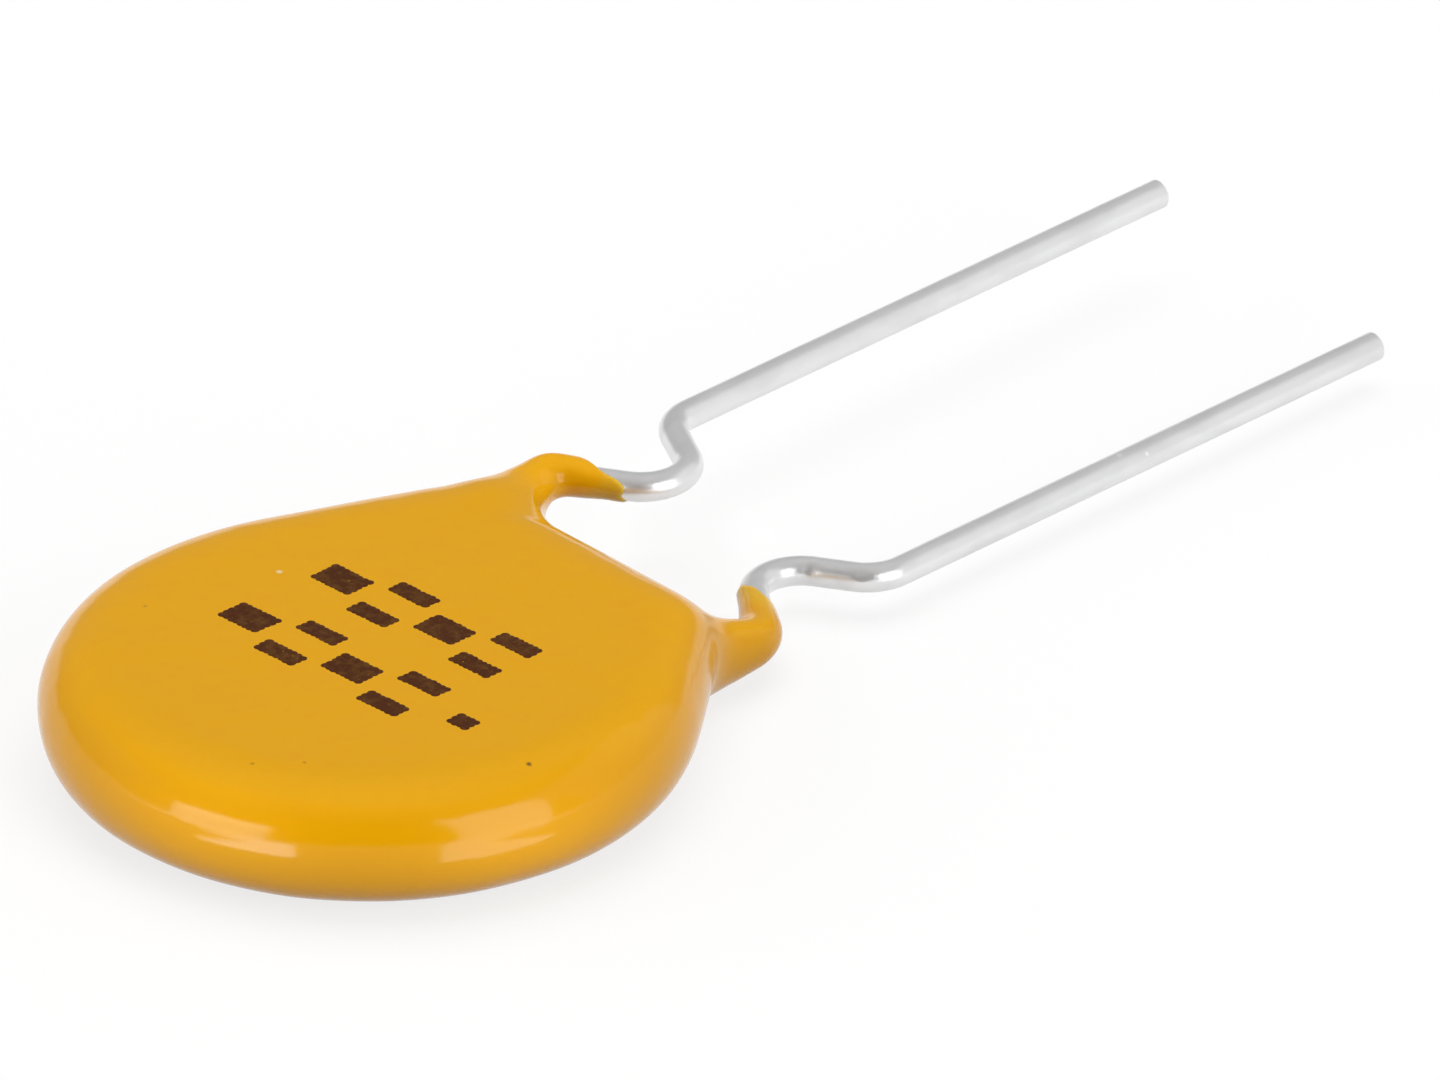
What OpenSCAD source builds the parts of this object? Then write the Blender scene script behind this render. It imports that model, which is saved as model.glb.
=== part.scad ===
// Resettable fuse with two radial leads, lying on its rear face.
// X runs along the leads, away from the disc, and Y from the rear lead to the front lead.
// Z is up: the rear face lies at Z = 0, and the disc's centre is above the origin.

/* [Switching element] */
// Diameter of the polymer chip
chip_d = 9.5; // [8.5:0.1:14]
// Thickness of the polymer chip
chip_t = 0.31; // [0.2:0.01:0.6]
// Thickness of the metal foil on each face of the chip
foil_t = 0.035; // [0.02:0.005:0.1]

/* [Leads] */
// Diameter of the tinned wire
wire_d = 0.51; // [0.4:0.01:0.7]
// Distance between the straight runs of the two leads
lead_pitch = 5.1; // [4.6:0.1:5.6]
// How far the pair of leads sits off the disc's centre, towards the front lead
lead_shift = 0.25; // [0:0.05:0.4]
// Length of the straight run after the kink
lead_run = 11.3; // [5:0.05:30]
// Chamfer round the cut end of each lead
tip_chamfer = 0.05; // [0.02:0.01:0.1]

/* [Kink] */
// Distance from the straight edge of the body to the first bend
neck_l = 0.95; // [0.6:0.05:2]
// Angle of the two legs to the straight run
kink_angle = 60; // [45:5:70]
// Radius of the bends, at the middle of the wire
kink_r = 0.8; // [0.6:0.05:1.2]
// Length of the leg that runs inwards
kink_in = 0.85; // [0.6:0.05:1.2]
// Length of the leg that runs back outwards
kink_out = 0.7; // [0.4:0.05:1.2]

/* [Solder joints] */
// Length of wire that is soldered to the foil
joint_l = 5; // [3:0.1:6]
// Solder left between the wire and the foil
solder_film = 0.03; // [0.02:0.01:0.1]
// Height of the solder above the middle of the wire
solder_rise = 0.115; // [0.05:0.005:0.15]
// Solder beside the wire at the top of the fillet
solder_lip = 0.045; // [0.02:0.005:0.1]
// Thickness of the fillet at its outer edge
solder_edge = 0.045; // [0.02:0.005:0.1]
// Solder that runs on past the inner end of the wire
solder_tail = 0.2; // [0.1:0.05:0.5]
// Bare foil between the end of the solder and the edge of the chip
foil_margin = 0.25; // [0.1:0.05:0.6]

/* [Coating] */
// Coating between the edge of the chip and the rim of the body
coat_rim = 0.825; // [0.5:0.025:1.5]
// Coating between each wire and the face over it
coat_face = 0.44; // [0.3:0.02:0.8]
// How far the straight edge between the leads stands out past the round of the disc
edge_rise = 0.18; // [0.05:0.01:0.4]
// How far the shoulders of the body lie inside the lines of the leads
shoulder_inset = 0.15; // [0:0.05:0.5]
// How sharply the shoulders draw in towards the sleeves
shoulder_draw = 1.5; // [1:0.1:3]
// Wall of the sleeve round the first bend
sleeve_wall = 0.11; // [0.06:0.01:0.2]
// Wall of the sleeve at its thin end
sleeve_end_wall = 0.045; // [0.02:0.005:0.05]
// Bare wire left on the front lead's inward leg
front_bare = 0.3; // [0.05:0.05:0.5]
// Bare wire left on the rear lead's inward leg
rear_bare = 0.05; // [0.05:0.05:0.5]

/* [Hidden] */
$fn = 64;

// Facets round the blended body and its shoulders, and stretches along each shoulder
body_fn = 40;
shoulder_fn = 24;
shoulder_steps = 3;

// Heights, measured from the middle of the chip
foil_z = chip_t / 2;
solder_z = foil_z + foil_t;
wire_z = solder_z + solder_film + wire_d / 2;
body_t = 2 * (wire_z + wire_d / 2 + coat_face);
mid_z = body_t / 2;

// Plan of the body
body_r = chip_d / 2 + coat_rim;
edge_x = body_r + edge_rise;
bend_x = edge_x + neck_l;

// Each lead steps in a little through its kink, so the soldered ends lie wider than the pitch
kink_step = (kink_in - kink_out) * sin(kink_angle);
wire_y = lead_pitch / 2 + kink_step;

// Section and length of a solder joint
solder_h = solder_film + wire_d / 2 + solder_rise;
solder_top_w = wire_d + 2 * solder_lip;
fillet_r = solder_h - solder_edge;
solder_w = solder_top_w + 2 * fillet_r;
solder_reach = wire_y + lead_shift + solder_w / 2;
joint_x = sqrt(pow(chip_d / 2, 2) - pow(solder_reach, 2)) - foil_margin;
solder_l = joint_l + solder_tail;
cut_spare = solder_tail;
buried_l = bend_x - joint_x + joint_l;

// Coating along the wires: each shoulder ends inside the wall of its sleeve
rim_r = body_t / 2;
corner_x = edge_x - rim_r;
sleeve_r = wire_d / 2 + sleeve_wall;
sleeve_end_r = wire_d / 2 + sleeve_end_wall;
shoulder_end_r = wire_d / 2 + sleeve_wall / 2;

// Lead side: the front lead lies on the upper face, the rear lead on the lower face
FRONT = 1;
REAR = -1;

// Puts a front-side shape on either side of the chip, turned about the line between the leads
module on_side(side) {
    translate([0, lead_shift, mid_z])
        rotate([side == FRONT ? 0 : 180, 0, 0])
            children();
}

// Puts a shape on the wire's axis, at the start of the first bend
module at_bend(side) {
    on_side(side)
        translate([bend_x, wire_y, wire_z])
            children();
}

// A round rod along X, from the origin
module rod(length, r1, r2) {
    rotate([0, 90, 0])
        cylinder(h = length, r1 = r1, r2 = r2);
}

// A round bend in the XY plane that leaves the origin along X and turns left for a positive angle
module bend(angle, r) {
    left = sign(angle);
    translate([0, left * kink_r, 0])
        rotate([0, 0, left > 0 ? -90 : 90 + angle])
            rotate_extrude(angle = abs(angle))
                translate([kink_r, 0])
                    circle(r = r);
}

// Carries a shape from the start of a bend to its end
module after_bend(angle) {
    left = sign(angle);
    translate([0, left * kink_r, 0])
        rotate([0, 0, angle])
            translate([0, -left * kink_r, 0])
                children();
}

// The straight run of a lead, with its cut end chamfered
module straight_run() {
    r = wire_d / 2;
    rod(lead_run - tip_chamfer, r, r);
    translate([lead_run - tip_chamfer, 0, 0])
        rod(tip_chamfer, r, r - tip_chamfer);
}

// One lead: soldered end, inward leg, outward leg and straight run
module wire() {
    r = wire_d / 2;
    translate([-buried_l, 0, 0])
        rod(buried_l, r, r);
    bend(-kink_angle, r);
    after_bend(-kink_angle) {
        rod(kink_in, r, r);
        translate([kink_in, 0, 0]) {
            bend(2 * kink_angle, r);
            after_bend(2 * kink_angle) {
                rod(kink_out, r, r);
                translate([kink_out, 0, 0]) {
                    bend(-kink_angle, r);
                    after_bend(-kink_angle)
                        straight_run();
                }
            }
        }
    }
}

// The space that a solder joint fills, with the wire still in it
module joint_space() {
    translate([joint_x - solder_l, wire_y, solder_z])
        difference() {
            translate([0, -solder_w / 2, 0])
                cube([solder_l, solder_w, solder_h]);
            for (edge = [-1, 1])
                translate([-cut_spare, edge * solder_w / 2, solder_h])
                    rod(solder_l + 2 * cut_spare, fillet_r, fillet_r);
        }
}

// A solder joint, with a concave fillet along each side of the wire
module joint() {
    r = wire_d / 2;
    difference() {
        joint_space();
        translate([bend_x - buried_l, wire_y, wire_z])
            rod(buried_l, r, r);
    }
}

// The dipped body: a round-rimmed disc drawn out to a straight edge between the leads
module dipped_disc() {
    hull() {
        translate([0, 0, mid_z])
            rotate_extrude($fn = body_fn)
                translate([body_r - rim_r, 0])
                    circle(r = rim_r, $fn = body_fn);
        for (side = [FRONT, REAR])
            on_side(side)
                shoulder_ball(0, body_fn);
    }
}

// One round section of a shoulder, at a share of the way from the corner of the body to the first bend.
// It draws in as it goes, and settles onto the wire's axis.
module shoulder_ball(share, facets) {
    to_go = 1 - share;
    translate([bend_x, wire_y, wire_z] - to_go * [bend_x - corner_x, shoulder_inset, wire_z * to_go])
        sphere(r = shoulder_end_r + (rim_r - shoulder_end_r) * pow(to_go, shoulder_draw), $fn = facets);
}

// Coating that draws in from a corner of the body to the sleeve on a wire
module shoulder() {
    for (step = [1:shoulder_steps])
        hull() {
            shoulder_ball((step - 1) / shoulder_steps, shoulder_fn);
            shoulder_ball(step / shoulder_steps, shoulder_fn);
        }
}

// The thin sleeve that follows a wire out of the body and round its first bend
module sleeve(bare) {
    translate([joint_x - bend_x, 0, 0])
        rod(bend_x - joint_x, sleeve_r, sleeve_r);
    bend(-kink_angle, sleeve_r);
    after_bend(-kink_angle)
        rod(kink_in - bare, sleeve_r, sleeve_end_r);
}

// The chip and its two foils as one disc
module element_space() {
    translate([0, 0, mid_z])
        cylinder(h = 2 * solder_z, d = chip_d, center = true);
}

module coating() {
    color("goldenrod")
        difference() {
            union() {
                dipped_disc();
                for (side = [FRONT, REAR])
                    on_side(side) shoulder();
                at_bend(FRONT) sleeve(front_bare);
                at_bend(REAR) sleeve(rear_bare);
            }
            element_space();
            for (side = [FRONT, REAR]) {
                on_side(side) joint_space();
                at_bend(side) wire();
            }
        }
}

module ptc_chip() {
    color("dimgray")
        translate([0, 0, mid_z])
            cylinder(h = chip_t, d = chip_d, center = true);
}

module foil(side) {
    color("lightgray")
        on_side(side)
            translate([0, -side * lead_shift, foil_z])
                cylinder(h = foil_t, d = chip_d);
}

module lead(side) {
    color("silver")
        at_bend(side) wire();
}

module solder(side) {
    color("gainsboro")
        on_side(side) joint();
}

coating();
ptc_chip();
foil(FRONT);  // front_foil
foil(REAR);  // rear_foil
lead(FRONT);  // front_lead
lead(REAR);  // rear_lead
solder(FRONT);  // front_solder
solder(REAR);  // rear_solder
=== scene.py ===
"""A resettable fuse: an epoxy-dipped disc on two kinked, tinned leads, lit as on a photographer's table.

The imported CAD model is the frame. The dipped coating, the leads and the ink marks are made here, in the
CAD's own coordinates, and the parts inside the coating keep their solids and get finishes. Sizes are in
millimetres.
"""

import logging
import math
from dataclasses import dataclass, field
from enum import Enum
from itertools import product
from typing import Any, Iterable, Mapping, Sequence, Union

import bpy
import numpy as np
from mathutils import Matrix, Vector

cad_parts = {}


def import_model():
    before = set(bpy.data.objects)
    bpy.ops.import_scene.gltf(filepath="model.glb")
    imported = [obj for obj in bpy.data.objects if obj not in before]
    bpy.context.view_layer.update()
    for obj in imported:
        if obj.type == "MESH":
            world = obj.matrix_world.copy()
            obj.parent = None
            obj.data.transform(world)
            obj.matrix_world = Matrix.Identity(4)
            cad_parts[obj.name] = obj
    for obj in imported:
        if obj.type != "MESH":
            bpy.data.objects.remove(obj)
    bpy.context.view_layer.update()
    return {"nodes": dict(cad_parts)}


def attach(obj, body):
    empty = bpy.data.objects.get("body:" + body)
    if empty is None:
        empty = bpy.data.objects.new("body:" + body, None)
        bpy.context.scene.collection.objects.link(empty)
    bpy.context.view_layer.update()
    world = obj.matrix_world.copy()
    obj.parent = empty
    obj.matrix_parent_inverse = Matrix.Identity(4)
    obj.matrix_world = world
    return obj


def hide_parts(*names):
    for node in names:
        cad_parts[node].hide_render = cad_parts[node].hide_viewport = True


MM = 0.001
LOG = logging.getLogger("fuse")

# Sizes that the coating, the leads and the studio share
WIRE_R = 0.255
MID_Z = 1.17

Array = np.ndarray
Band = tuple[float, float]
Triple = tuple[float, float, float]
Colour = Triple
Number = Union[int, float, "Val"]

WHITE: Colour = (1.0, 1.0, 1.0)
ORIGIN: Triple = (0.0, 0.0, 0.0)


class Side(Enum):
    """The two faces of the disc, as the sign of the turn about the line between the leads."""

    FRONT = 1.0
    REAR = -1.0


def add_object(name: str, data: bpy.types.ID) -> bpy.types.Object:
    """Puts an object into the scene.

    Args:
        name: The object's name.
        data: Its mesh, curve, lamp or camera.

    Returns:
        The object.
    """
    made = bpy.data.objects.new(name, data)
    bpy.context.collection.objects.link(made)
    return made


def smooth_mesh(
    name: str, places: Sequence[Any], faces: Sequence[Any], finish: bpy.types.Material
) -> bpy.types.Mesh:
    """Makes a smooth mesh with one finish.

    Args:
        name: The mesh's name.
        places: The places of its vertices, in metres.
        faces: The vertices of each face.
        finish: Its material.

    Returns:
        The mesh.
    """
    mesh = bpy.data.meshes.new(name)
    mesh.from_pydata(places, [], faces)
    mesh.polygons.foreach_set("use_smooth", np.ones(len(faces), dtype=bool))
    mesh.materials.append(finish)
    mesh.update()
    return mesh


class Val:
    """A number socket of a node tree that can be used in Python arithmetic."""

    def __init__(self, graph: "Graph", socket: bpy.types.NodeSocket) -> None:
        """Wraps one output socket."""
        self.graph = graph
        self.socket = socket

    def _math(self, operation: str, first: Number, second: Number) -> "Val":
        """Adds one Math node.

        Args:
            operation: The Math node's operation.
            first: The first value or link.
            second: The second value or link.

        Returns:
            The node's result.
        """
        return self.graph.add("ShaderNodeMath", {"operation": operation}, {0: first, 1: second})

    def __add__(self, other: Number) -> "Val":
        """The sum."""
        return self._math("ADD", self, other)

    __radd__ = __add__

    def __sub__(self, other: Number) -> "Val":
        """The difference."""
        return self._math("SUBTRACT", self, other)

    def __rsub__(self, other: Number) -> "Val":
        """The difference, from a plain number."""
        return self._math("SUBTRACT", other, self)

    def __mul__(self, other: Number) -> "Val":
        """The product."""
        return self._math("MULTIPLY", self, other)

    __rmul__ = __mul__

    def __truediv__(self, other: Number) -> "Val":
        """The quotient."""
        return self._math("DIVIDE", self, other)

    def __rtruediv__(self, other: Number) -> "Val":
        """The quotient, of a plain number."""
        return self._math("DIVIDE", other, self)

    def __lt__(self, other: Number) -> "Val":
        """1 where it is less, and 0 elsewhere."""
        return self._math("LESS_THAN", self, other)

    def __gt__(self, other: Number) -> "Val":
        """1 where it is more, and 0 elsewhere."""
        return self._math("GREATER_THAN", self, other)

    def __mod__(self, other: Number) -> "Val":
        """The remainder, never negative."""
        return self._math("FLOORED_MODULO", self, other)

    def rounded(self) -> "Val":
        """The nearest whole number."""
        return self._math("ROUND", self, 0.0)

    def floored(self) -> "Val":
        """The whole number below."""
        return self._math("FLOOR", self, 0.0)

    def at_least(self, other: Number) -> "Val":
        """The larger of the two."""
        return self._math("MAXIMUM", self, other)

    def ease(self, start: float, stop: float) -> "Val":
        """A smooth step.

        Args:
            start: The value at which the result is 0.
            stop: The value at which the result is 1.

        Returns:
            The step, between 0 and 1.
        """
        return self.graph.add(
            "ShaderNodeMapRange",
            {"interpolation_type": "SMOOTHSTEP"},
            {"Value": self, "From Min": start, "From Max": stop, "To Min": 0.0, "To Max": 1.0},
        )


class Graph:
    """A node tree, with one method that adds any node."""

    def __init__(self, tree: bpy.types.NodeTree) -> None:
        """Takes a tree and clears it."""
        self.tree = tree
        self.tree.nodes.clear()

    def node(
        self,
        kind: str,
        settings: Mapping[str, Any] | None = None,
        inputs: Mapping[int | str, Any] | None = None,
    ) -> bpy.types.Node:
        """Adds a node of any type.

        Args:
            kind: The node's type name.
            settings: Its settings, set first.
            inputs: The values or links of its sockets, by name or number.

        Returns:
            The new node.
        """
        made = self.tree.nodes.new(kind)
        for name, value in (settings or {}).items():
            setattr(made, name, value)
        for key, value in (inputs or {}).items():
            self._feed(made.inputs[key], value)
        return made

    def add(
        self,
        kind: str,
        settings: Mapping[str, Any] | None = None,
        inputs: Mapping[int | str, Any] | None = None,
        output: int | str = 0,
    ) -> Val:
        """Adds a node and wraps one of its outputs.

        Args:
            kind: The node's type name.
            settings: Its settings, set first.
            inputs: The values or links of its sockets.
            output: The output to wrap, by name or number.

        Returns:
            The wrapped output.
        """
        return Val(self, self.node(kind, settings, inputs).outputs[output])

    def _feed(self, socket: bpy.types.NodeSocket, value: Any) -> None:
        """Links or sets one input socket.

        Args:
            socket: The socket.
            value: A value, or a wrapped output that feeds it.
        """
        if isinstance(value, Val):
            self.tree.links.new(value.socket, socket)
        elif isinstance(value, tuple) and len(value) == 3 and socket.type == "RGBA":
            socket.default_value = (*value, 1.0)
        else:
            socket.default_value = value

    def parts(self, vector: Val) -> tuple[Val, ...]:
        """The X, Y and Z of a vector."""
        split = self.node("ShaderNodeSeparateXYZ", None, {0: vector})
        return tuple(Val(self, socket) for socket in split.outputs)

    def vector(self, operation: str, first: Any, second: Any) -> Val:
        """Adds one Vector Math node.

        Args:
            operation: The node's operation: SCALE by a number, ADD, DISTANCE or DOT_PRODUCT.
            first: The first vector or link.
            second: The second vector, number or link.

        Returns:
            The node's vector, or its number where the operation gives one.
        """
        key = "Scale" if operation == "SCALE" else 1
        output = "Vector" if operation in ("SCALE", "ADD") else "Value"
        return self.add("ShaderNodeVectorMath", {"operation": operation}, {0: first, key: second}, output)

    def blend(self, share: Number, first: Any, second: Any) -> Val:
        """Mixes two colours.

        Args:
            share: How much of the second colour shows.
            first: The first colour or link.
            second: The second colour or link.

        Returns:
            The mixed colour.
        """
        return self.add(
            "ShaderNodeMix",
            {"data_type": "RGBA", "clamp_factor": True},
            {0: share, 6: first, 7: second},
            output=2,
        )


@dataclass(frozen=True)
class Speck:
    """A grain of dust or a pit in the coating, or a nick in a lead."""

    x: float
    y: float
    z: float
    radius: float
    colour: Colour


class Surface(Graph):
    """A material's node tree, around one Principled shader."""

    SPECK_GRAIN = 0.05
    SPECK_RAGGED = 0.6
    SPECK_EDGE = (0.55, 1.25)

    def __init__(self, name: str) -> None:
        """Makes a new material with an empty tree.

        Args:
            name: The material's name.
        """
        self.material = bpy.data.materials.new(name)
        self.material.use_nodes = True
        super().__init__(self.material.node_tree)
        self.place = self.add("ShaderNodeTexCoord", output="Object")

    def noise(self, size: float, detail: float = 2.0, stretch: Triple = (1.0, 1.0, 1.0)) -> Val:
        """A noise on Object coordinates.

        Args:
            size: The size of its grains, in millimetres.
            detail: The number of finer layers.
            stretch: How many times longer the grains are along each axis.

        Returns:
            The noise, about 0.5.
        """
        scale = tuple(1.0 / (size * MM * longer) for longer in stretch)
        place = self.add("ShaderNodeMapping", None, {"Vector": self.place, "Scale": scale})
        return self.add("ShaderNodeTexNoise", None, {"Vector": place, "Scale": 1.0, "Detail": detail})

    def relief(self, height: Val, depth: float, strength: float) -> Val:
        """A bump that is given by its depth.

        Args:
            height: The height, from 0 to 1.
            depth: The depth of the relief, in millimetres.
            strength: How strongly it shows.

        Returns:
            The bent normal.
        """
        return self.add(
            "ShaderNodeBump", None, {"Height": height, "Distance": depth * MM, "Strength": strength}
        )

    def speckled(self, colour: Val, specks: Sequence[Speck]) -> Val:
        """Puts ragged little specks on a colour.

        Args:
            colour: The colour under the specks.
            specks: The specks.

        Returns:
            The colour with the specks on it.
        """
        for speck in specks:
            middle = (speck.x * MM, speck.y * MM, speck.z * MM)
            radius = speck.radius * MM
            away = self.vector("DISTANCE", self.place, middle)
            ragged = away + self.noise(self.SPECK_GRAIN, detail=1.0) * (radius * self.SPECK_RAGGED)
            inner, outer = (radius * edge for edge in self.SPECK_EDGE)
            colour = self.blend(1.0 - ragged.ease(inner, outer), colour, speck.colour)
        return colour

    def close(self, inputs: Mapping[int | str, Any]) -> bpy.types.Material:
        """Adds the Principled shader and the output.

        Args:
            inputs: The values or links of the shader's sockets.

        Returns:
            The finished material.
        """
        shader = self.add("ShaderNodeBsdfPrincipled", None, inputs)
        self.node("ShaderNodeOutputMaterial", None, {"Surface": shader})
        return self.material


@dataclass(frozen=True)
class EpoxyFinish:
    """Glossy ochre epoxy, dipped and slightly uneven.

    The rim is painted darker than the face, as painted shade on the sides, and the face's colour holds a
    painted
    sheen: the rim's colour gives way to the face's where the skin turns up. Past a slanted line on the
    front lead's side the horns are painted lighter, as painted light. A thin wall over a lead shows paler.
    """

    # face: the epoxy's colour with a painted sheen; rim: darker, as painted shade on the sides
    face: Colour = (0.715, 0.345, 0.0022)
    rim: Colour = (0.648, 0.300, 0.0010)
    # horn: painted lighter than the face, as painted light on the horns
    horn: Colour = (0.790, 0.378, 0.0020)
    thin: Colour = (0.640, 0.500, 0.060)
    mottle: Colour = (0.66, 0.27, 0.004)
    # Upward normals over which the rim's painted shade gives way to the face, with a drifting edge
    painted_shade_band: Band = (0.55, 1.0)
    painted_shade_drift: float = 0.3
    drift_size: float = 3.5
    painted_light_band: Band = (6.4, 7.4)
    painted_light_lean: float = 0.35
    mottle_size: float = 0.30
    mottle_band: Band = (0.45, 0.75)
    mottle_share: float = 0.10
    thin_share: float = 0.75
    swell_size: float = 0.9
    peel_size: float = 0.22
    peel_share: float = 0.1
    relief_depth: float = 0.028
    relief_strength: float = 0.9
    roughness: float = 0.10
    roughness_drift: float = 0.06
    roughness_size: float = 0.8
    ior: float = 1.5
    gloss: float = 0.24
    specks: tuple[Speck, ...] = (
        Speck(-0.88, -4.72, 2.22, 0.080, (0.20, 0.085, 0.015)),
        Speck(-4.24, -1.56, 2.30, 0.055, (0.44, 0.20, 0.01)),
        Speck(-3.62, -2.17, 2.32, 0.050, (0.46, 0.21, 0.01)),
        Speck(-1.76, 3.59, 2.32, 0.055, (0.48, 0.24, 0.02)),
        Speck(0.67, 2.87, 2.32, 0.085, (0.78, 0.58, 0.30)),
    )

    def material(self) -> bpy.types.Material:
        """The finish as a material.

        Returns:
            The material.
        """
        skin = Surface("dipped_epoxy")
        # Painted shade on the rim and a painted sheen on the face, chosen by which way the skin faces
        drift = skin.noise(self.drift_size, detail=1.0) * self.painted_shade_drift - self.painted_shade_drift / 2
        upward = skin.parts(skin.add("ShaderNodeNewGeometry", output="Normal"))[2]
        colour = skin.blend((upward + drift).ease(*self.painted_shade_band), self.rim, self.face)
        # Painted light: past a slanted line the horns take a lighter colour
        along, across, _ = skin.parts(skin.place)
        start, stop = (edge * MM for edge in self.painted_light_band)
        colour = skin.blend((along + across * self.painted_light_lean).ease(start, stop), colour, self.horn)
        mottle = skin.noise(self.mottle_size, detail=3.0).ease(*self.mottle_band)
        colour = skin.blend(mottle * self.mottle_share, colour, self.mottle)
        wall = skin.add("ShaderNodeAttribute", {"attribute_name": Coating.WALL}, None, "Fac")
        colour = skin.blend((1.0 - wall) * self.thin_share, colour, self.thin)
        swell, peel = skin.noise(self.swell_size, detail=1.0), skin.noise(self.peel_size)
        height = swell * (1.0 - self.peel_share) + peel * self.peel_share
        return skin.close({
            "Base Color": skin.speckled(colour, self.specks),
            "Roughness": self.roughness + skin.noise(self.roughness_size) * self.roughness_drift,
            "Normal": skin.relief(height, self.relief_depth, self.relief_strength),
            "IOR": self.ior,
            "Specular IOR Level": self.gloss,
        })


@dataclass(frozen=True)
class TinFinish:
    """Tin on copper wire: pale, drawn lengthwise, a little dull."""

    colour: Colour = (0.86, 0.86, 0.86)
    dull: Colour = (0.76, 0.76, 0.77)
    dull_share: float = 0.8
    cloud_size: float = 0.45
    cloud_stretch: Triple = (2.5, 1.0, 1.0)
    cloud_band: Band = (0.35, 0.75)
    streak_size: float = 0.05
    streak_stretch: Triple = (14.0, 1.0, 1.0)
    streak_share: float = 0.4
    grain_size: float = 0.055
    relief_depth: float = 0.006
    relief_strength: float = 0.45
    roughness: float = 0.22
    roughness_cloud: float = 0.14
    roughness_grain: float = 0.05
    metallic: float = 0.62
    nicks: tuple[Speck, ...] = (
        Speck(15.41, -2.33, 0.945, 0.085, WHITE),
        Speck(15.90, -2.50, 0.850, 0.060, WHITE),
    )

    def material(self) -> bpy.types.Material:
        """The finish as a material.

        Returns:
            The material.
        """
        skin = Surface("tinned_wire")
        streak = skin.noise(self.streak_size, stretch=self.streak_stretch)
        cloud = skin.noise(self.cloud_size, detail=3.0, stretch=self.cloud_stretch)
        grain = skin.noise(self.grain_size)
        colour = skin.blend(cloud.ease(*self.cloud_band) * self.dull_share, self.colour, self.dull)
        height = streak * self.streak_share + grain * (1.0 - self.streak_share)
        return skin.close({
            "Base Color": skin.speckled(colour, self.nicks),
            "Metallic": self.metallic,
            "Roughness": self.roughness + cloud * self.roughness_cloud + grain * self.roughness_grain,
            "Normal": skin.relief(height, self.relief_depth, self.relief_strength),
        })


@dataclass(frozen=True)
class InkFinish:
    """Dark brown marking ink."""

    colour: Colour = (0.068, 0.018, 0.003)
    faint: Colour = (0.105, 0.040, 0.006)
    patch_size: float = 0.14
    patch_band: Band = (0.4, 0.75)
    relief_size: float = 0.05
    relief_depth: float = 0.002
    relief_strength: float = 0.5
    roughness: float = 0.42
    roughness_drift: float = 0.2
    roughness_size: float = 0.06
    ior: float = 1.5
    gloss: float = 0.12

    def material(self) -> bpy.types.Material:
        """The finish as a material.

        Returns:
            The material.
        """
        skin = Surface("marking_ink")
        patch = skin.noise(self.patch_size).ease(*self.patch_band)
        return skin.close({
            "Base Color": skin.blend(patch, self.colour, self.faint),
            "Roughness": self.roughness + skin.noise(self.roughness_size) * self.roughness_drift,
            "Normal": skin.relief(skin.noise(self.relief_size), self.relief_depth, self.relief_strength),
            "IOR": self.ior,
            "Specular IOR Level": self.gloss,
        })


@dataclass(frozen=True)
class MetalFinish:
    """A satin metal inside the coating: the chip's foils or the solder."""

    name: str
    colour: Colour
    shade: Colour
    grain: float
    roughness: float
    roughness_grain: float = 0.15
    cloud_grains: float = 8.0
    cloud_band: Band = (0.3, 0.7)
    relief_share: float = 0.08
    relief_strength: float = 0.6

    def material(self) -> bpy.types.Material:
        """The finish as a material.

        Returns:
            The material.
        """
        skin = Surface(self.name)
        cloud = skin.noise(self.grain * self.cloud_grains, detail=3.0).ease(*self.cloud_band)
        grain = skin.noise(self.grain)
        return skin.close({
            "Base Color": skin.blend(cloud, self.colour, self.shade),
            "Metallic": 1.0,
            "Roughness": self.roughness + grain * self.roughness_grain,
            "Normal": skin.relief(grain, self.grain * self.relief_share, self.relief_strength),
        })


@dataclass(frozen=True)
class ChipFinish:
    """Carbon-filled polymer, matt black."""

    colour: Colour = (0.030, 0.030, 0.032)
    grey: Colour = (0.055, 0.055, 0.058)
    grain_size: float = 0.06
    grain_band: Band = (0.4, 0.7)
    roughness: float = 0.6
    roughness_grain: float = 0.25
    relief_depth: float = 0.004
    relief_strength: float = 0.6

    def material(self) -> bpy.types.Material:
        """The finish as a material.

        Returns:
            The material.
        """
        skin = Surface("carbon_polymer")
        grain = skin.noise(self.grain_size, detail=3.0)
        return skin.close({
            "Base Color": skin.blend(grain.ease(*self.grain_band), self.colour, self.grey),
            "Roughness": self.roughness + grain * self.roughness_grain,
            "Normal": skin.relief(grain, self.relief_depth, self.relief_strength),
        })


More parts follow.
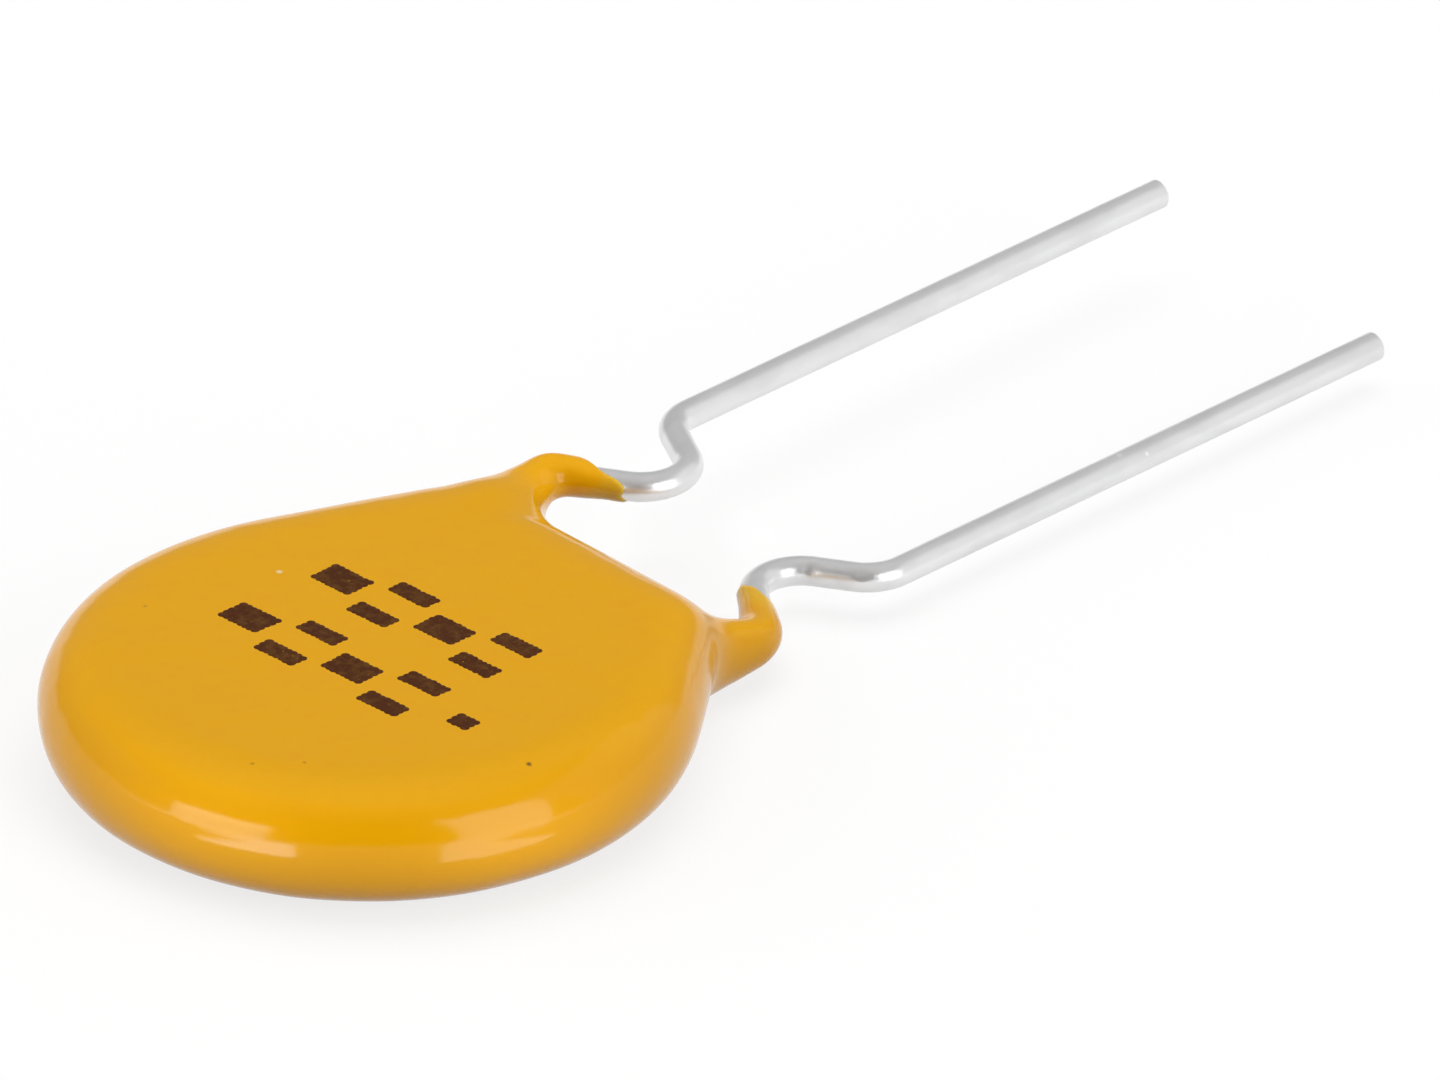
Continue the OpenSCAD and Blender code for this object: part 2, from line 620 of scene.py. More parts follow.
@dataclass(frozen=True)
class Route:
    """The middle line of one lead, from its soldered end to its tip, in that side's own frame.

    It leaves the disc along X. Its inward leg lies at bend_angle to that line and its outward leg at
    out_angle, and after them it runs straight to its tip.
    """

    side: Side
    bend_x: float
    bend_angle: float
    leg_in: float
    leg_out: float = 0.70
    out_angle: float = 60.0
    bend_r: float = 0.80
    inner_x: float = -2.134
    tip_x: float = 21.551
    wire_y: float = 2.68
    wire_z: float = 0.475
    shift: float = 0.25
    mid_z: float = MID_Z
    buried_points: int = 9
    run_points: int = 60
    least_bend_points: int = 4
    leg_step: float = 0.05

    def points(self, chamfer: float, step: float = 3.0) -> Array:
        """The line's points, in the part's frame.

        Args:
            chamfer: The length of the chamfer at the tip.
            step: The angle between points on a bend, in degrees.

        Returns:
            One row for each point.
        """
        x, y, heading = self.bend_x, self.wire_y, 0.0
        flat = [(place, y) for place in np.linspace(self.inner_x, x, self.buried_points)]
        moves = (
            (-self.bend_angle, self.leg_in),
            (self.bend_angle + self.out_angle, self.leg_out),
            (-self.out_angle, 0.0),
        )
        for turn, leg in moves:
            radius = math.copysign(self.bend_r, turn)
            hub_x, hub_y = x - math.sin(heading) * radius, y + math.cos(heading) * radius
            count = max(self.least_bend_points, round(abs(turn) / step))
            for i in range(1, count + 1):
                angle = heading + math.radians(turn) * i / count
                flat.append((hub_x + math.sin(angle) * radius, hub_y - math.cos(angle) * radius))
            heading += math.radians(turn)
            x, y = flat[-1]
            count = round(leg / self.leg_step)
            for i in range(1, count + 1):
                gone = leg * i / count
                flat.append((x + math.cos(heading) * gone, y + math.sin(heading) * gone))
            x, y = flat[-1]
        flat += [(place, y) for place in np.linspace(x, self.tip_x - chamfer, self.run_points)[1:]]
        flat.append((self.tip_x, y))
        line = np.array(flat)
        side = self.side.value
        height = np.full(len(line), self.mid_z + side * self.wire_z)
        return np.stack([line[:, 0], self.shift + side * line[:, 1], height], axis=1)


@dataclass(frozen=True)
class Horn:
    """Coating that draws out along one lead, in that side's own frame.

    The corner is where it leaves the disc, and the sleeve runs from the lead's first bend to a ragged end.
    That end lies at the run named end, more or less by slant: it reaches furthest at the angle slant_at
    round the wire, and it is square where the slant's share is cut off at blunt. Towards the disc the horn
    flares out from flare_at, moves in by inset and down by drop. Lift and crest raise it round the bend.
    """

    route: Route
    corner_x: float
    corner_y: float
    end: float
    slant: float
    slant_at: float
    flare_at: float
    inset: float
    drop: float
    inner_fillet: float
    lift: float = 0.0
    crest: float = 0.0
    blunt: float = 1.0
    taper_from: float = 0.0
    taper_to: float = 1.72
    sleeve_r: float = 0.365
    thin_r: float = 0.290
    flare: float = 0.35
    outer_fillet: float = 0.55


@dataclass(frozen=True)
class Wave:
    """A wave with its own height: round a wire, or over the skin with one rate along it and one across."""

    height: float
    rate: float
    start: float
    cross_rate: float = 0.0
    cross_start: float = math.pi / 2

    def at(self, along: Array, across: Array | float = 0.0) -> Array:
        """Its height at places along it, and across it if it has a second rate."""
        ridge = np.sin(self.rate * along + self.start)
        return self.height * ridge * np.sin(self.cross_rate * across + self.cross_start)


FRONT_ROUTE = Route(Side.FRONT, bend_x=6.705, bend_angle=60.0, leg_in=0.85, leg_out=0.81)
REAR_ROUTE = Route(Side.REAR, bend_x=6.50, bend_angle=52.0, leg_in=1.169)


def smooth_min(first: Array, second: Array, reach: Array) -> Array:
    """The union of two distance fields, with a fillet.

    Args:
        first: The first field.
        second: The second field.
        reach: How far the fillet reaches.

    Returns:
        The joined field.
    """
    overlap = np.maximum(reach - np.abs(first - second), 0.0) / reach
    return np.minimum(first, second) - overlap * overlap * reach / 4


def ease(share: Array) -> Array:
    """A smooth step of values that are cut to 0 and 1."""
    share = np.clip(share, 0.0, 1.0)
    return share * share * (3.0 - 2.0 * share)


def fade(past: Array) -> Array:
    """A soft step down from 1 to 0."""
    return 1 / (1 + np.exp(past))


def soft_ramp(past: Array, soften: float) -> Array:
    """Zero below 0 and the value itself above, with a softened corner."""
    return soften * np.logaddexp(0.0, past / soften)


@dataclass
class Coating:
    """The dipped coating: a round-rimmed disc with a straight edge, drawn out along the leads.

    Its skin is where a distance field is zero. The field is meshed on a grid, and the mesh is then settled
    onto it.
    """

    WALL = "wall"
    CELL_CORNERS = tuple(product((0, 1), repeat=3))

    # The disc: its faces roll over into a round rim, and its skin swells a little
    body_r: float = 5.575
    half_t: float = 1.155
    mid_z: float = MID_Z
    corner_r: float = 1.17
    roll: float = 1.60
    roll_power: float = 3.0
    least_level_slope: float = 0.4
    swells: tuple[Wave, ...] = (
        Wave(0.004, 1.9, 0.7, 1.6, -0.4),
        Wave(0.0024, 3.1, -1.2, 2.7, 2.0),
    )

    # The disc's plan, worked out on a grid, with its corners softened
    plan_from: float = -7.0
    plan_to: Band = (8.0, 7.0)
    plan_cell: float = 0.05
    plan_soften: float = 0.25
    plan_spread: int = 3
    plan_turn: float = 1.5

    # The horns: where they start, their fillets, how they swell, rise and end
    horns: tuple[Horn, ...] = (
        Horn(FRONT_ROUTE, corner_x=4.68, corner_y=2.53, end=1.53, slant=0.56, slant_at=3.90,
             flare_at=-0.10, inset=0.25, drop=0.18, inner_fillet=1.00, lift=0.06, crest=0.060,
             blunt=0.35, taper_from=0.72, taper_to=1.40),
        Horn(REAR_ROUTE, corner_x=4.50, corner_y=2.30, end=1.72, slant=0.38, slant_at=math.pi,
             flare_at=0.15, inset=0.30, drop=0.10, inner_fillet=0.55),
    )
    horn_from: Band = (2.5, 0.2)
    inner_span: float = 0.7
    inner_start: float = 0.3
    face_cut: float = 0.9
    face_at: float = 0.75
    face_span: float = 0.25
    wire_r: float = WIRE_R
    buried_reach: float = 3.0
    root_soften: float = 0.3
    root_limit: float = 1.3
    root_limit_soften: float = 0.2
    root_cut: float = 0.7
    lift_end: float = 0.6
    lift_soften: float = 0.17
    crest_at: float = 0.40
    crest_width: float = 0.32
    ripples: tuple[Wave, ...] = (Wave(0.03, 3.0, 1.0), Wave(0.02, 8.0, 2.0))
    end_cut: float = 0.2
    end_soften: float = 0.03

    # The thin wall that shows paler: its full thickness, and the part of a lead on which it is found
    wall_full: float = 0.09
    wall_run: float = 0.3
    wall_reach: float = 0.6

    # The grid on which the skin is meshed, finer round the horns
    coarse: float = 0.085
    fine: float = 0.048
    layer: float = 0.062
    grid_r: float = 5.75
    grid_z: Band = (-0.08, 2.42)
    horn_grid_x: Band = (4.6, 9.4)
    horn_grid_y: tuple[Band, ...] = ((-3.1, -0.6), (1.1, 3.6))

    # How the mesh settles onto the skin
    slope_step: float = 0.004
    least_slope: float = 0.05
    longest_step: float = 0.04
    relax_share: float = 0.5
    first_rounds: int = 3
    relax_rounds: int = 3
    last_rounds: int = 2

    finish: EpoxyFinish = EpoxyFinish()
    plan: Array = field(init=False)
    plan_x: Array = field(init=False)
    plan_y: Array = field(init=False)

    def __post_init__(self) -> None:
        """Makes the plan of the body: the distance outside its outline, with the corners softened."""
        self.plan_x, self.plan_y = (np.arange(self.plan_from, to, self.plan_cell) for to in self.plan_to)
        x, y = np.meshgrid(self.plan_x, self.plan_y, indexing="ij")
        outside = np.full(x.shape, -np.inf)
        for angle in np.radians(np.arange(0.0, 360.0, self.plan_turn)):
            cos, sin = math.cos(angle), math.sin(angle)
            reach = self.body_r
            for horn in self.horns:
                corner_y = horn.route.shift + horn.route.side.value * horn.corner_y
                reach = max(reach, horn.corner_x * cos + corner_y * sin + self.corner_r)
            outside = np.maximum(outside, x * cos + y * sin - reach)
        half = int(self.plan_spread * self.plan_soften / self.plan_cell)
        kernel = np.exp(-0.5 * (np.arange(-half, half + 1) * self.plan_cell / self.plan_soften) ** 2)
        kernel /= kernel.sum()
        padded = np.pad(outside, half, mode="edge")
        rows = sum(share * padded[i:i + x.shape[0], :] for i, share in enumerate(kernel))
        both = sum(share * rows[:, i:i + x.shape[1]] for i, share in enumerate(kernel))
        # Softening raises the field by this much where the outline is round
        self.plan = both - 0.5 * self.plan_soften ** 2 / self.body_r

    def plan_distance(self, x: Array, y: Array) -> Array:
        """Distance outside the body's outline, seen from above.

        Args:
            x: Places along the leads.
            y: Places across the leads.

        Returns:
            The distances, negative inside.
        """
        # The spline reads one line of the grid before a place and two after it
        column = np.clip((x - self.plan_x[0]) / self.plan_cell, 2, len(self.plan_x) - 4)
        row = np.clip((y - self.plan_y[0]) / self.plan_cell, 2, len(self.plan_y) - 4)
        i, j = column.astype(int), row.astype(int)

        def weights(t: Array) -> tuple[Array, ...]:
            """The four weights of a cubic B-spline."""
            return (
                (1 - t) ** 3 / 6,
                (3 * t ** 3 - 6 * t ** 2 + 4) / 6,
                (-3 * t ** 3 + 3 * t ** 2 + 3 * t + 1) / 6,
                t ** 3 / 6,
            )

        along, across = weights(column - i), weights(row - j)
        return sum(
            along[a] * across[b] * self.plan[i + a - 1, j + b - 1] for a, b in product(range(4), repeat=2)
        )

    def body(self, plan: Array, z: Array) -> Array:
        """Distance from the disc alone: flat faces that roll over into a round rim.

        Args:
            plan: Distances outside the outline.
            z: Heights above the middle of the disc.

        Returns:
            The distances.
        """
        outward = np.maximum(plan + self.roll, 1e-6) / self.roll
        level = np.sqrt(outward ** self.roll_power + (z / self.half_t) ** 2)
        slope_out = self.roll_power * outward ** (self.roll_power - 1) / self.roll
        slope_up = 2 * z / self.half_t ** 2
        slope = np.maximum(np.hypot(slope_out, slope_up) / 2, self.least_level_slope)
        return level * (level - 1) / slope

    def along_wire(self, horn: Horn, x: Array, y: Array) -> tuple[Array, ...]:
        """Where points lie along a lead, up to the end of its second bend.

        Args:
            horn: The horn on that lead.
            x: Places along the leads.
            y: Places across them, in the side's own frame.

        Returns:
            The distance from the middle line in plan, the run from the first bend, and the offset to the
            outer side.
        """
        route = horn.route
        radius, angle = route.bend_r, math.radians(route.bend_angle)
        cos, sin = math.cos(angle), -math.sin(angle)
        from_x, from_y = x - route.bend_x, y - route.wire_y
        back = np.clip(from_x, -self.buried_reach, 0.0)
        hub_y = from_y + radius
        first = np.clip(np.arctan2(from_x, hub_y), 0.0, angle)
        leg_x, leg_y = from_x + radius * sin, from_y - radius * (cos - 1)
        leg = np.clip(leg_x * cos + leg_y * sin, 0.0, route.leg_in)
        far_x = leg_x - route.leg_in * cos + radius * sin
        far_y = leg_y - route.leg_in * sin - radius * cos
        second = np.clip(np.arctan2(far_x * cos + far_y * sin, far_x * sin - far_y * cos), 0.0, angle)
        second_x = radius * (np.sin(second) * cos + np.cos(second) * sin)
        second_y = radius * (np.sin(second) * sin - np.cos(second) * cos)
        bend = angle * radius
        flat = np.stack([
            np.hypot(from_x - back, from_y),
            np.hypot(from_x - radius * np.sin(first), hub_y - radius * np.cos(first)),
            np.hypot(leg_x - leg * cos, leg_y - leg * sin),
            np.hypot(far_x - second_x, far_y - second_y),
        ])
        run = np.stack([back, first * radius, bend + leg, bend + route.leg_in + second * radius])
        out = np.stack([
            from_y,
            np.hypot(from_x, hub_y) - radius,
            leg_y * cos - leg_x * sin,
            radius - np.hypot(far_x, far_y),
        ])
        nearest = flat.argmin(axis=0)[None]
        return tuple(np.take_along_axis(value, nearest, axis=0)[0] for value in (flat, run, out))

    def horn(self, horn: Horn, x: Array, y: Array, z: Array) -> Array:
        """Distance from one horn, which thins to a ragged end on its lead.

        Args:
            horn: The horn.
            x: Places along the leads.
            y: Places across them, in the side's own frame.
            z: Heights above the middle of the disc, in the side's own frame.

        Returns:
            The distances.
        """
        flat, run, out = self.along_wire(horn, x, y)
        ahead = x - horn.route.bend_x
        root = soft_ramp(horn.flare_at - ahead, self.root_soften)
        raised = horn.lift * fade((ahead - self.lift_end) / self.lift_soften)
        raised += horn.crest * np.exp(-(((ahead - self.crest_at) / self.crest_width) ** 2))
        mid_z = horn.route.wire_z - horn.drop * root + raised
        mid_out = -horn.inset * root
        beyond = np.maximum(flat ** 2 - out ** 2, 0.0)
        across = np.sqrt((out - mid_out) ** 2 + (z - mid_z) ** 2 + beyond)
        round_wire = np.arctan2(z - horn.route.wire_z, out)
        end = horn.end + horn.slant * np.minimum(np.cos(round_wire - horn.slant_at), horn.blunt)
        end += sum(ripple.at(round_wire) for ripple in self.ripples)
        taper = ease((run - horn.taper_from) / (horn.taper_to - horn.taper_from))
        radius = horn.sleeve_r + (horn.thin_r - horn.sleeve_r) * taper + horn.flare * root
        radius -= self.root_cut * soft_ramp(root - self.root_limit, self.root_limit_soften)
        radius -= self.end_cut * fade((end - run) / self.end_soften)
        return across - radius

    def distance(self, points: Array, plan: Array | None = None) -> Array:
        """Distance from the skin.

        Args:
            points: Points, one in each row.
            plan: Their distances outside the outline, where they are known.

        Returns:
            The distances, negative inside.
        """
        x, y, z = points[:, 0], points[:, 1], points[:, 2] - self.mid_z
        plan = self.plan_distance(x, y) if plan is None else plan
        away = self.body(plan, z)
        for horn in self.horns:
            side = horn.route.side.value
            own_y = side * (y - horn.route.shift)
            near = np.nonzero((x > self.horn_from[0]) & (own_y > self.horn_from[1]))[0]
            near_y, near_z = own_y[near], side * z[near]
            inner = ease((horn.route.wire_y - near_y) / self.inner_span + self.inner_start)
            on_face = ease((np.abs(near_z) / self.half_t - self.face_at) / self.face_span)
            inner = inner * (1 - self.face_cut * on_face)
            reach = horn.outer_fillet + (horn.inner_fillet - horn.outer_fillet) * inner
            away[near] = smooth_min(away[near], self.horn(horn, x[near], near_y, near_z), reach)
        return away + sum(swell.at(x, y) for swell in self.swells)

    def slope(self, points: Array) -> Array:
        """The field's gradient.

        Args:
            points: Points, one in each row.

        Returns:
            One gradient for each point.
        """
        moves = np.eye(3) * self.slope_step
        rises = [self.distance(points + move) - self.distance(points - move) for move in moves]
        return np.stack(rises, axis=1) / (2 * self.slope_step)

    def settle(self, points: Array, rounds: int) -> Array:
        """Moves points onto the skin.

        Args:
            points: Points near the skin.
            rounds: The number of steps.

        Returns:
            The moved points.
        """
        for _ in range(rounds):
            slope = self.slope(points)
            steep = np.maximum((slope * slope).sum(axis=1, keepdims=True), self.least_slope)
            step = self.distance(points)[:, None] * slope / steep
            length = np.maximum(np.linalg.norm(step, axis=1, keepdims=True), 1e-9)
            points = points - step * np.minimum(1.0, self.longest_step / length)
        return points

    def axes(self) -> tuple[Array, ...]:
        """The grid's lines, closer together round the horns.

        Returns:
            The lines along X, Y and Z.
        """

        def spaced(stops: Sequence[Band], last: float) -> Array:
            """Lines from each stop to the next, at that stop's spacing.

            Args:
                stops: The places of the stops, each with its spacing.
                last: The place of the last line.

            Returns:
                The lines' places.
            """
            ends = [stop[0] for stop in stops[1:]] + [last]
            runs = [
                np.linspace(start, end, max(2, round((end - start) / gap)), endpoint=False)
                for (start, gap), end in zip(stops, ends)
            ]
            return np.concatenate(runs + [[last]])

        first = (-self.grid_r, self.coarse)
        across = [first]
        for start, end in self.horn_grid_y:
            across += [(start, self.fine), (end, self.coarse)]
        return (
            spaced([first, (self.horn_grid_x[0], self.fine)], self.horn_grid_x[1]),
            spaced(across, self.grid_r),
            spaced([(self.grid_z[0], self.layer)], self.grid_z[1]),
        )

    def mesh(self) -> tuple[Array, Array]:
        """Meshes the skin by surface nets: one vertex in each cell of the grid that the skin cuts.

        Returns:
            The vertices and the four-sided faces.
        """
        axes = self.axes()
        shape = tuple(len(lines) for lines in axes)
        plan = self.plan_distance(*np.meshgrid(axes[0], axes[1], indexing="ij"))
        plan = np.repeat(plan[:, :, None], shape[2], axis=2)
        grid = np.stack(np.meshgrid(*axes, indexing="ij"), axis=-1)
        values = self.distance(grid.reshape(-1, 3), plan.reshape(-1)).reshape(shape)
        inside = values < 0
        held = sum(
            inside[tuple(slice(at, size - 1 + at) for at, size in zip(corner, shape))].astype(int)
            for corner in self.CELL_CORNERS
        )
        cut = (held > 0) & (held < len(self.CELL_CORNERS))
        cells = np.argwhere(cut)
        number = np.full(cut.shape, -1)
        number[cut] = np.arange(len(cells))
        return self.crossings(cells, values, grid), self.quads(inside, number)

    def crossings(self, cells: Array, values: Array, grid: Array) -> Array:
        """The middle of the places where the skin crosses each cell's edges.

        Args:
            cells: The cells, by the grid numbers of their first corners.
            values: The field at the grid's points.
            grid: The grid's points.

        Returns:
            One place for each cell.
        """
        total, count = np.zeros((len(cells), 3)), np.zeros(len(cells))
        for corner, axis in product(self.CELL_CORNERS, range(3)):
            if corner[axis]:
                continue
            opposite = tuple(at + (n == axis) for n, at in enumerate(corner))
            start, stop = cells + corner, cells + opposite
            from_value, to_value = values[tuple(start.T)], values[tuple(stop.T)]
            crossed = (from_value < 0) != (to_value < 0)
            share = from_value[crossed] / (from_value[crossed] - to_value[crossed])
            from_place, to_place = grid[tuple(start[crossed].T)], grid[tuple(stop[crossed].T)]
            total[crossed] += from_place + share[:, None] * (to_place - from_place)
            count[crossed] += 1
        return total / count[:, None]

    @staticmethod
    def quads(inside: Array, number: Array) -> Array:
        """One face for each line of the grid that the skin crosses.

        Args:
            inside: Whether each of the grid's points lies inside the skin.
            number: The number of each cell's vertex.

        Returns:
            The faces, which point outwards.
        """
        faces = []
        for axis in range(3):
            second, third = (axis + 1) % 3, (axis + 2) % 3
            lower = np.take(inside, np.arange(inside.shape[axis] - 1), axis=axis)
            upper = np.take(inside, np.arange(1, inside.shape[axis]), axis=axis)
            for flip, where in ((False, lower & ~upper), (True, ~lower & upper)):
                crossed = np.argwhere(where)
                ring = []
                for back_second, back_third in ((1, 1), (0, 1), (0, 0), (1, 0)):
                    cell = crossed.copy()
                    cell[:, second] -= back_second
                    cell[:, third] -= back_third
                    ring.append(number[tuple(cell.T)])
                quad = np.stack(ring, axis=1)
                faces.append(quad[:, ::-1] if flip else quad)
        return np.concatenate(faces)

    def relax(self, points: Array, faces: Array) -> Array:
        """Evens out the mesh, and keeps it on the skin.

        Args:
            points: The vertices.
            faces: The faces.

        Returns:
            The moved vertices.
        """
        here = faces.T.reshape(-1)
        there = np.roll(faces, -1, axis=1).T.reshape(-1)
        count = len(points)
        ties = np.maximum(np.bincount(here, minlength=count), 1)
        for _ in range(self.relax_rounds):
            sums = [np.bincount(here, weights=column[there], minlength=count) for column in points.T]
            middle = np.stack(sums, axis=1) / ties[:, None]
            points = self.settle(points + self.relax_share * (middle - points), 1)
        return points

    def wall(self, points: Array) -> Array:
        """How thick the coating is over a lead, from 0 at a feathered end to 1 where it is full.

        Args:
            points: Points on the skin.

        Returns:
            One value for each point.
        """
        value = np.ones(len(points))
        for horn in self.horns:
            side = horn.route.side.value
            y = side * (points[:, 1] - horn.route.shift)
            z = side * (points[:, 2] - self.mid_z) - horn.route.wire_z
            flat, run, _ = self.along_wire(horn, points[:, 0], y)
            share = np.clip((np.hypot(flat, z) - self.wire_r) / self.wall_full, 0, 1)
            on_sleeve = (run > self.wall_run) & (flat < self.wall_reach)
            value = np.where(on_sleeve, np.minimum(value, share), value)
        return value

    def build(self) -> bpy.types.Object:
        """Makes the coating and dresses it.

        Returns:
            The coating, in place of the CAD solid.
        """
        points, faces = self.mesh()
        points = self.relax(self.settle(points, self.first_rounds), faces)
        points = self.settle(points, self.last_rounds)
        finish = self.finish.material()
        mesh = smooth_mesh("dipped_coating", (points * MM).tolist(), faces.tolist(), finish)
        layer = mesh.attributes.new(self.WALL, "FLOAT", "POINT")
        layer.data.foreach_set("value", self.wall(points).astype(np.float32))
        piece = add_object("dipped_coating", mesh)
        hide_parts("coating")
        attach(piece, "root")
        return piece


class NodeShape(Graph):
    """A Geometry Nodes tree with named inputs, whose result is made a plain mesh."""

    SOCKETS = {float: "NodeSocketFloat", int: "NodeSocketInt", tuple: "NodeSocketVector"}

    def __init__(self, name: str, sizes: Mapping[str, float | int | tuple], surface: bool = False) -> None:
        """Makes a tree.

        Args:
            name: The tree's name.
            sizes: Its inputs and their usual values.
            surface: Whether it also takes the object whose surface it follows.
        """
        super().__init__(bpy.data.node_groups.new(name, "GeometryNodeTree"))
        self.keys: dict[str, str] = {}
        self._input("Geometry", "NodeSocketGeometry")
        for label, value in sizes.items():
            self._input(label, self.SOCKETS[type(value)]).default_value = value
        if surface:
            self._input("Surface", "NodeSocketObject")
        self._input("Finish", "NodeSocketMaterial")
        self.tree.interface.new_socket("Geometry", in_out="OUTPUT", socket_type="NodeSocketGeometry")
        self.entry = self.node("NodeGroupInput")

    def _input(self, label: str, kind: str) -> bpy.types.NodeTreeInterfaceSocket:
        """Adds one input to the tree, and keeps its identifier.

        Args:
            label: The input's name.
            kind: The type of its socket.

        Returns:
            The input.
        """
        socket = self.tree.interface.new_socket(label, in_out="INPUT", socket_type=kind)
        self.keys[label] = socket.identifier
        return socket

    def given(self, label: str) -> Val:
        """One of the tree's inputs."""
        return Val(self, self.entry.outputs[label])

    def finish(self, shape: Val) -> None:
        """Ends the tree with Realize Instances and Set Material.

        Args:
            shape: The geometry to end with.
        """
        real = self.add("GeometryNodeRealizeInstances", None, {"Geometry": shape})
        smooth = self.add("GeometryNodeSetShadeSmooth", None, {"Geometry": real})
        dressed = self.add(
            "GeometryNodeSetMaterial", None, {"Geometry": smooth, "Material": self.given("Finish")}
        )
        self.node("NodeGroupOutput", None, {0: dressed})

    def bake(self, carrier: bpy.types.Object, values: Mapping[str, Any], name: str) -> bpy.types.Mesh:
        """Runs the tree on an object.

        Args:
            carrier: The object that the tree starts from. It is removed afterwards.
            values: The inputs that differ from the usual ones.
            name: The name of the result.

        Returns:
            A plain mesh.
        """
        modifier = carrier.modifiers.new(name, "NODES")
        modifier.node_group = self.tree
        for label, value in values.items():
            modifier[self.keys[label]] = value
        depsgraph = bpy.context.evaluated_depsgraph_get()
        mesh = bpy.data.meshes.new_from_object(carrier.evaluated_get(depsgraph), depsgraph=depsgraph)
        mesh.name = name
        carrier.modifiers.remove(modifier)
        bpy.data.objects.remove(carrier)
        return mesh


@dataclass(frozen=True)
class Press:
    """A flat that the forming tool pressed into a lead."""

    centre: Triple
    radius: float
    depth: float


@dataclass
class Leads:
    """The two tinned leads, swept along their routes."""

    # What the names of the first and the second press end in
    PRESSES = ("", " 2")

    wire_r: float = WIRE_R
    sides: int = 32
    chamfer: float = 0.05
    grain: float = 0.0016
    grain_size: float = 0.18
    grain_detail: float = 2.0
    press_r: float = 0.1
    sharp_angle: float = 40.0
    routes: tuple[tuple[str, Route], ...] = (("front_lead", FRONT_ROUTE), ("rear_lead", REAR_ROUTE))
    presses: Mapping[str, tuple[Press, ...]] = field(default_factory=lambda: {
        "rear_lead": (Press((8.99, -1.42, 0.85), 0.17, 0.030), Press((9.46, -2.15, 0.87), 0.17, 0.030)),
    })
    finish: TinFinish = TinFinish()

    def tree(self) -> NodeShape:
        """The sweep: a round profile along a curve, with the faint unevenness of drawn wire.

        Returns:
            The tree.
        """
        sizes = {
            "Wire radius": self.wire_r * MM,
            "Sides": self.sides,
            "Grain height": self.grain * MM,
            "Grain size": self.grain_size * MM,
        }
        for number in self.PRESSES:
            sizes["Press centre" + number] = ORIGIN
            sizes["Press radius" + number] = self.press_r * MM
            sizes["Press depth" + number] = 0.0
        graph = NodeShape("swept_wire", sizes)
        given = graph.given
        ring = graph.add("GeometryNodeCurvePrimitiveCircle", {"mode": "RADIUS"}, {
            "Resolution": given("Sides"), "Radius": given("Wire radius"),
        })
        tube = graph.add("GeometryNodeCurveToMesh", None, {
            "Curve": given("Geometry"), "Profile Curve": ring, "Fill Caps": True,
        })
        place = graph.add("GeometryNodeInputPosition")
        noise = graph.add("ShaderNodeTexNoise", None, {
            "Vector": place, "Scale": 1.0 / given("Grain size"), "Detail": self.grain_detail,
        })
        push = (noise - 0.5) * given("Grain height")
        for number in self.PRESSES:
            away = graph.vector("DISTANCE", place, given("Press centre" + number))
            pressed = (1.0 - away / given("Press radius" + number)).at_least(0.0)
            push = push - pressed * given("Press depth" + number)
        offset = graph.vector("SCALE", graph.add("GeometryNodeInputNormal"), push)
        graph.finish(graph.add("GeometryNodeSetPosition", None, {"Geometry": tube, "Offset": offset}))
        return graph

    def curve(self, name: str, route: Route) -> bpy.types.Object:
        """The route of a lead as a curve, drawn in at the tip's chamfer.

        Args:
            name: The lead's name.
            route: Its route.

        Returns:
            The curve.
        """
        points = route.points(self.chamfer)
        data = bpy.data.curves.new(name + "_route", "CURVE")
        data.dimensions = "3D"
        spline = data.splines.new("POLY")
        spline.points.add(len(points) - 1)
        for point, place in zip(spline.points, points):
            point.co = (*(place * MM), 1.0)
            point.radius = 1.0
        spline.points[-1].radius = 1.0 - self.chamfer / self.wire_r
        return add_object(name + "_route", data)

    def build(self) -> list[bpy.types.Object]:
        """Makes the leads and dresses them.

        Returns:
            The leads, in place of the CAD solids.
        """
        tree, finish, made = self.tree(), self.finish.material(), []
        for name, route in self.routes:
            values: dict[str, Any] = {"Finish": finish}
            for number, press in zip(self.PRESSES, self.presses.get(name, ())):
                values["Press centre" + number] = tuple(v * MM for v in press.centre)
                values["Press radius" + number] = press.radius * MM
                values["Press depth" + number] = press.depth * MM
            mesh = tree.bake(self.curve(name, route), values, "tinned_" + name)
            mesh.set_sharp_from_angle(angle=math.radians(self.sharp_angle))
            piece = add_object("tinned_" + name, mesh)
            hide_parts(name)
            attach(piece, "root")
            made.append(piece)
        return made


@dataclass(frozen=True)
class DotRow:
    """A row of plain bars, printed dot by dot."""

    x: float
    y: float
    columns: int
    rows: int
    seed: int


